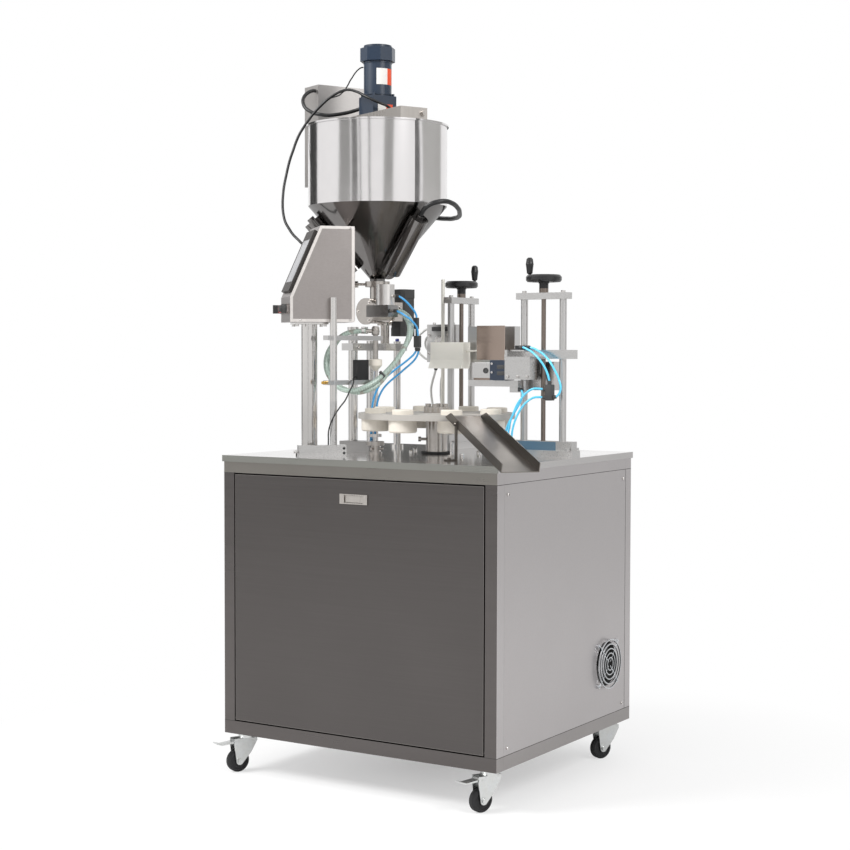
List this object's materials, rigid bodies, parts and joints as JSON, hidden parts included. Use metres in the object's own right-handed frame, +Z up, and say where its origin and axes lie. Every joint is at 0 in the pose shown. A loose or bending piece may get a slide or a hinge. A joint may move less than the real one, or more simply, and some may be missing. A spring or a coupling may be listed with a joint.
{
  "type": "tube filling machine",
  "caption": "Tube filling machine on a wheeled cabinet: conical hopper with stirrer and dosing pump over an indexing turntable of cups, sealing and trimming lifts, chute and operator panel.",
  "frame": {"origin": "Floor under the middle of the overall plan box.", "axes": "+Z up, -Y to the door side where the chute points, +X to the fan side."},
  "size_m": [1.0816, 0.864, 2.0964],
  "materials": {
    "cabinet_steel": "satin stainless sheet",
    "side_steel": "satin stainless sheet",
    "stainless": "brushed stainless",
    "bright_steel": "polished bar",
    "hopper_steel": "mirror polished sheet",
    "machined": "machined block",
    "motor_blue": "dark blue paint",
    "nylon": "turned nylon",
    "white_plastic": "moulded white",
    "black_plastic": "moulded black",
    "red_plastic": "moulded red",
    "grey_plastic": "moulded bezel",
    "tyre": "caster tread",
    "zinc": "zinc plated pressing",
    "drive_grey": "painted casting",
    "copper": "copper tinted jaw",
    "hose": "braided clear hose",
    "blue_tube": "air tube",
    "cyan_tube": "air tube",
    "white_tube": "air tube",
    "cable": "black sheath"
  },
  "bodies": {
    "cabinet": {"base_frame": "cabinet_steel", "table_plate": "stainless", "side_panels": "side_steel", "floor_pan": "side_steel", "fan_housing": "black_plastic", "fan_guard": "bright_steel", "index_drive": "drive_grey", "sensor_box": "white_plastic", "turntable_column": "stainless", "lift_guides": "machined", "chute": "stainless", "hmi_post": "bright_steel", "hmi_box": "stainless", "hmi_screen": "grey_plastic", "hopper": "hopper_steel", "hopper_bridge": "stainless", "stirrer_motor": "motor_blue", "control_box": "side_steel", "dosing_pump": "stainless", "servo_motor": "black_plastic", "fill_stand": "machined", "fill_nozzle": "machined", "sensor_stand": "machined", "seal_stand": "machined", "trim_stand": "machined", "product_hoses": "hose", "fill_air_tubes": "blue_tube", "cables": "cable"},
    "door": {"front_door": "cabinet_steel", "latch_plate": "stainless"},
    "latch": {"latch_paddle": "stainless"},
    "fan": {"fan_rotor": "black_plastic"},
    "turntable": {"turntable_disc": "nylon", "tube_cups": "nylon"},
    "lifter": {"lifter_rod": "bright_steel"},
    "ejector": {"ejector_pin": "bright_steel"},
    "selector": {"mode_selector": "black_plastic"},
    "button": {"start_button": "red_plastic"},
    "knob": {"speed_knob": "black_plastic"},
    "stirrer": {"stirrer": "stainless"},
    "seal_lift": {"seal_carriage": "machined", "seal_air_tubes": "white_tube"},
    "seal_spindle": {"seal_screw": "black_plastic"},
    "seal_clamp": {"seal_jaw": "copper"},
    "trim_lift": {"trim_carriage": "machined", "trim_air_tubes": "cyan_tube"},
    "trim_spindle": {"trim_screw": "black_plastic"},
    "trim_cutter": {"trim_jaw": "machined"},
    "caster_front_left": {"caster_fork_front_left": "zinc"},
    "wheel_front_left": {"caster_wheel_front_left": "tyre"},
    "pedal_front_left": {"brake_pedal_front_left": "zinc"},
    "caster_front_right": {"caster_fork_front_right": "zinc"},
    "wheel_front_right": {"caster_wheel_front_right": "tyre"},
    "pedal_front_right": {"brake_pedal_front_right": "zinc"},
    "caster_rear_left": {"caster_fork_rear_left": "zinc"},
    "wheel_rear_left": {"caster_wheel_rear_left": "tyre"},
    "pedal_rear_left": {"brake_pedal_rear_left": "zinc"},
    "caster_rear_right": {"caster_fork_rear_right": "zinc"},
    "wheel_rear_right": {"caster_wheel_rear_right": "tyre"},
    "pedal_rear_right": {"brake_pedal_rear_right": "zinc"}
  },
  "joints": [
    {"name": "door_tilt", "type": "hinge", "parent": "cabinet", "child": "door", "pos_m": [-0.0227, -0.35796, 0.159], "axis": [1, 0, 0], "range_deg": [0, 90]},
    {"name": "latch_pull", "type": "hinge", "parent": "door", "child": "latch", "pos_m": [-0.0227, -0.36146, 0.806], "axis": [-1, 0, 0], "range_deg": [0, 40], "stiffness_Nm_per_rad": 0.05},
    {"name": "fan_spin", "type": "hinge", "parent": "cabinet", "child": "fan", "pos_m": [0.4023, 0.27204, 0.3], "axis": [1, 0, 0], "continuous": true},
    {"name": "swivel_front_left", "type": "hinge", "parent": "cabinet", "child": "caster_front_left", "pos_m": [-0.4237, -0.31896, 0.1], "axis": [0, 0, 1], "continuous": true},
    {"name": "roll_front_left", "type": "hinge", "parent": "caster_front_left", "child": "wheel_front_left", "pos_m": [-0.43732, -0.34569, 0.0325], "axis": [0.891, -0.454, 0], "continuous": true},
    {"name": "brake_front_left", "type": "hinge", "parent": "caster_front_left", "child": "pedal_front_left", "pos_m": [-0.44095, -0.35282, 0.088], "axis": [0.891, -0.454, 0], "range_deg": [0, 12]},
    {"name": "swivel_front_right", "type": "hinge", "parent": "cabinet", "child": "caster_front_right", "pos_m": [0.3783, -0.31896, 0.1], "axis": [0, 0, 1], "continuous": true},
    {"name": "roll_front_right", "type": "hinge", "parent": "caster_front_right", "child": "wheel_front_right", "pos_m": [0.36562, -0.34615, 0.0325], "axis": [0.9063, -0.4226, 0], "continuous": true},
    {"name": "brake_front_right", "type": "hinge", "parent": "caster_front_right", "child": "pedal_front_right", "pos_m": [0.36224, -0.3534, 0.088], "axis": [0.9063, -0.4226, 0], "range_deg": [0, 12]},
    {"name": "swivel_rear_left", "type": "hinge", "parent": "cabinet", "child": "caster_rear_left", "pos_m": [-0.4237, 0.38304, 0.1], "axis": [0, 0, 1], "continuous": true},
    {"name": "roll_rear_left", "type": "hinge", "parent": "caster_rear_left", "child": "wheel_rear_left", "pos_m": [-0.4387, 0.35706, 0.0325], "axis": [0.866, -0.5, 0], "continuous": true},
    {"name": "brake_rear_left", "type": "hinge", "parent": "caster_rear_left", "child": "pedal_rear_left", "pos_m": [-0.4427, 0.35013, 0.088], "axis": [0.866, -0.5, 0], "range_deg": [0, 12]},
    {"name": "swivel_rear_right", "type": "hinge", "parent": "cabinet", "child": "caster_rear_right", "pos_m": [0.3783, 0.38304, 0.1], "axis": [0, 0, 1], "continuous": true},
    {"name": "roll_rear_right", "type": "hinge", "parent": "caster_rear_right", "child": "wheel_rear_right", "pos_m": [0.36421, 0.35655, 0.0325], "axis": [0.8829, -0.4695, 0], "continuous": true},
    {"name": "brake_rear_right", "type": "hinge", "parent": "caster_rear_right", "child": "pedal_rear_right", "pos_m": [0.36046, 0.34949, 0.088], "axis": [0.8829, -0.4695, 0], "range_deg": [0, 12]},
    {"name": "turntable_index", "type": "hinge", "parent": "cabinet", "child": "turntable", "pos_m": [-0.0057, 0.03204, 1.014], "axis": [0, 0, 1], "continuous": true},
    {"name": "tube_lift", "type": "slide", "parent": "cabinet", "child": "lifter", "axis": [0, 0, 1], "range_m": [0, 0.04]},
    {"name": "tube_eject", "type": "slide", "parent": "cabinet", "child": "ejector", "axis": [0, 0, 1], "range_m": [0, 0.09]},
    {"name": "mode_turn", "type": "hinge", "parent": "cabinet", "child": "selector", "pos_m": [-0.35818, -0.24336, 1.317], "axis": [-0.6884, -0.7254, 0], "range_deg": [-45, 45]},
    {"name": "start_press", "type": "slide", "parent": "cabinet", "child": "button", "axis": [0.6884, 0.7254, 0], "range_m": [0, 0.004], "stiffness_N_per_m": 200},
    {"name": "speed_turn", "type": "hinge", "parent": "cabinet", "child": "knob", "pos_m": [-0.2929, -0.30531, 1.317], "axis": [-0.6884, -0.7254, 0], "range_deg": [-135, 135]},
    {"name": "stirrer_spin", "type": "hinge", "parent": "cabinet", "child": "stirrer", "pos_m": [-0.2347, 0.06704, 1.704], "axis": [0, 0, 1], "continuous": true},
    {"name": "seal_wheel", "type": "hinge", "parent": "cabinet", "child": "seal_spindle", "pos_m": [-0.0977, 0.32204, 1.384], "axis": [0, 0, 1], "range_deg": [-2160, 2160]},
    {"name": "seal_height", "type": "slide", "parent": "cabinet", "child": "seal_lift", "axis": [0, 0, 1], "range_m": [-0.03, 0.03]},
    {"name": "seal_close", "type": "slide", "parent": "seal_lift", "child": "seal_clamp", "axis": [0, 1, 0], "range_m": [0, 0.012]},
    {"name": "trim_wheel", "type": "hinge", "parent": "cabinet", "child": "trim_spindle", "pos_m": [0.3258, 0.06204, 1.384], "axis": [0, 0, 1], "range_deg": [-2160, 2160]},
    {"name": "trim_height", "type": "slide", "parent": "cabinet", "child": "trim_lift", "axis": [0, 0, 1], "range_m": [-0.03, 0.03]},
    {"name": "trim_close", "type": "slide", "parent": "trim_lift", "child": "trim_cutter", "axis": [-1, 0, 0], "range_m": [0, 0.01]}
  ],
  "couplings": [
    {"joint": "seal_wheel", "follows": "seal_height", "rad_per_m": 1256.6},
    {"joint": "trim_wheel", "follows": "trim_height", "rad_per_m": 1256.6}
  ]
}
